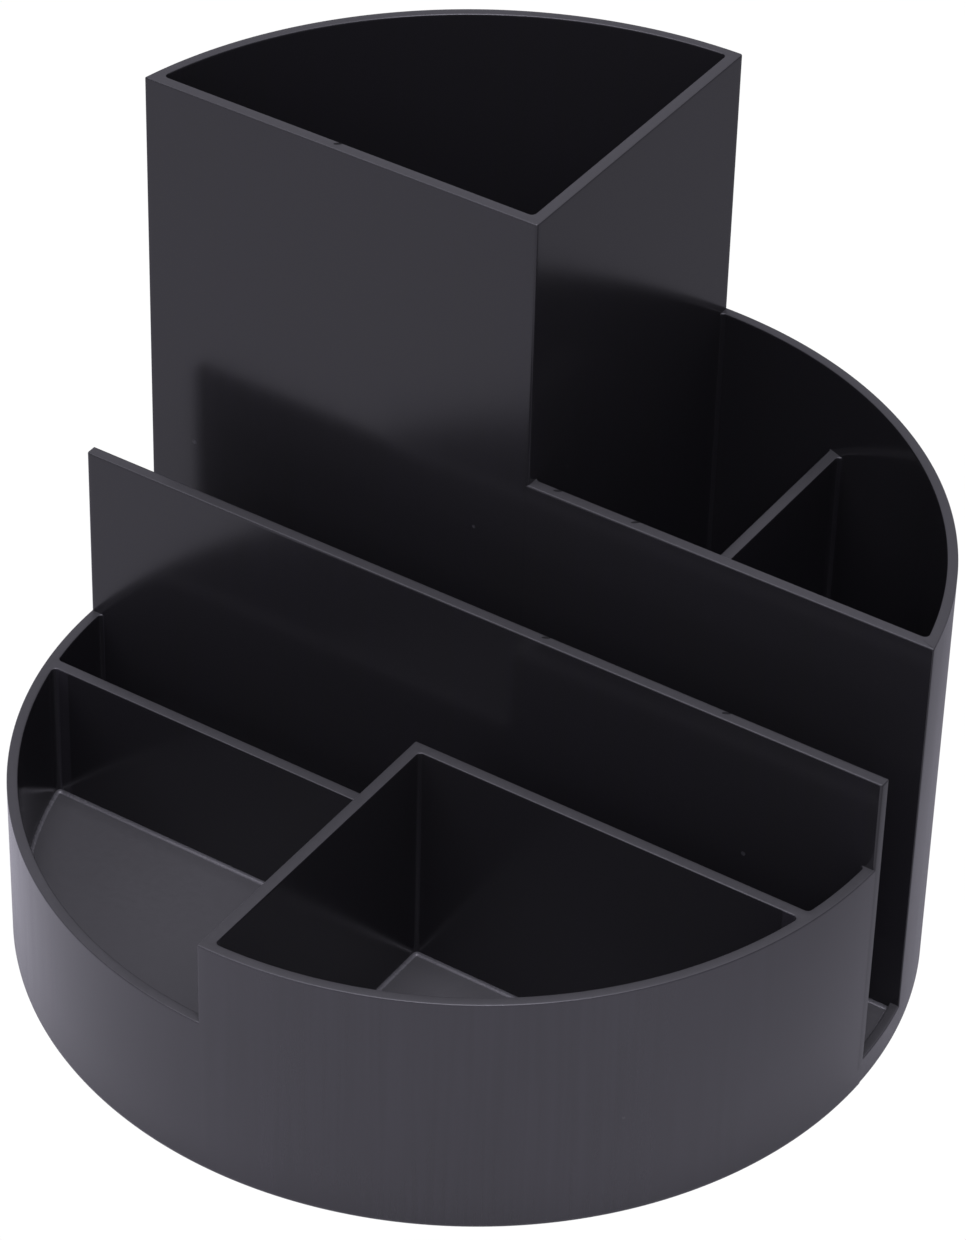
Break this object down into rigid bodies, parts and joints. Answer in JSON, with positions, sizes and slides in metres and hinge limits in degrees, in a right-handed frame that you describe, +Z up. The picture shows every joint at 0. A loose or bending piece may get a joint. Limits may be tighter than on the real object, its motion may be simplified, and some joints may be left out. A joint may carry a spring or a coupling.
{
  "type": "desk organizer",
  "caption": "Round black plastic desk organizer: tall pen tower, half-height bays, an open-ended letter slot and a stepped front tray.",
  "frame": {"origin": "centre of the round underside, on the surface the organizer stands on", "axes": "+Z up, +X along the letter slot towards the side where the front tray is deep, +Y from the front tray towards the tower"},
  "size_m": [0.14, 0.14, 0.119],
  "materials": {
    "satin_shell": "satin moulded black plastic, curved outer walls and floor",
    "gloss_partition": "polished moulded black plastic, straight walls"
  },
  "bodies": {
    "root": {"base_plate": "satin_shell", "tower_curved_wall": "satin_shell", "block_curved_wall": "satin_shell", "slot_sill_right": "satin_shell", "slot_sill_left": "satin_shell", "tray_low_wall": "satin_shell", "tray_high_wall": "satin_shell", "tower_front_wall": "gloss_partition", "tower_side_wall": "gloss_partition", "block_front_wall": "gloss_partition", "block_divider": "gloss_partition", "slot_wall": "gloss_partition", "tray_split_wall": "gloss_partition", "tray_step_wall_low": "gloss_partition", "tray_step_wall_high": "gloss_partition"}
  },
  "joints": []
}
